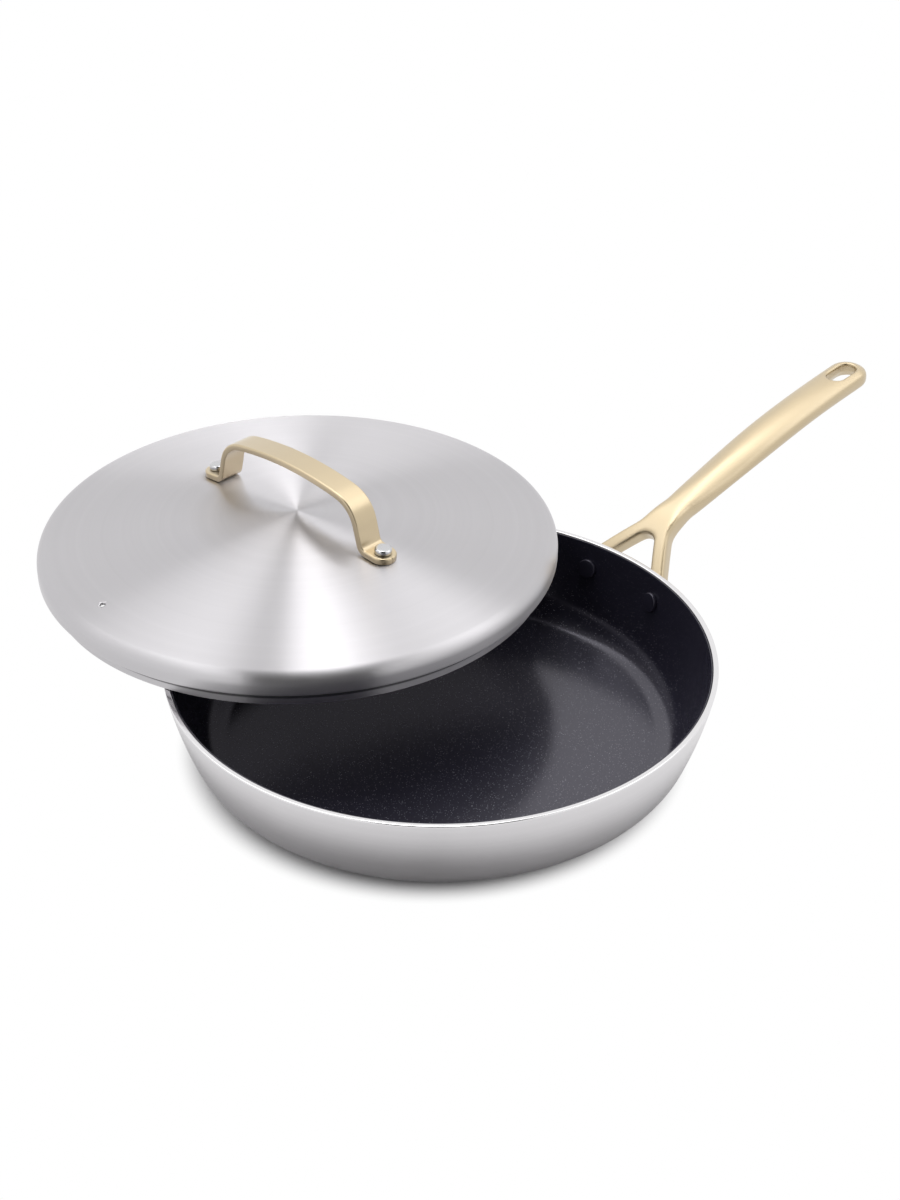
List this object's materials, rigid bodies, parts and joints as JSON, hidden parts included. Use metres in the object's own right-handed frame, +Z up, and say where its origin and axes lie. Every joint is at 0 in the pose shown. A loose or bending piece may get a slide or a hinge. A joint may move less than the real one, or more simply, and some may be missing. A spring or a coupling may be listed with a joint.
{
  "type": "frying pan with lid",
  "caption": "Shallow round frying pan with a dark lined inside, a forked riveted handle with a hanging hole, and a low-domed lid with a strap handle drawn back on the rim.",
  "frame": {"origin": "middle of the base plate's underside, which the pan stands on", "axes": "+X out along the pan handle, +Z up, +Y the way the lid is drawn back"},
  "size_m": [0.5149, 0.4337, 0.1261],
  "materials": {
    "pan_steel": "satin, fine lathe lines round the wall, bright cut rim",
    "dark_ceramic": "dark non-stick coat, semi-gloss with fine pale specks",
    "plate_steel": "fine concentric brushing",
    "champagne_metal": "satin champagne gold",
    "coated_rivet": "steel rivet under the dark coat inside, bare outside",
    "lid_steel": "spun satin with fine rings about the middle",
    "champagne_strap": "satin champagne gold on steel",
    "rivet_steel": "polished with a turned chamfer"
  },
  "bodies": {
    "pan": {"pan_body": "pan_steel", "interior_coating": "dark_ceramic", "base_plate": "plate_steel", "pan_handle": "champagne_metal", "handle_rivet_left": "coated_rivet", "handle_rivet_right": "coated_rivet"},
    "lid": {"lid_shell": "lid_steel", "lid_handle": "champagne_strap", "lid_rivet_back": "rivet_steel", "lid_rivet_front": "rivet_steel"}
  },
  "joints": [
    {"name": "lid_lift", "type": "slide", "parent": "pan", "child": "lid", "axis": [0, 0, 1], "range_m": [0, 0.25]}
  ]
}
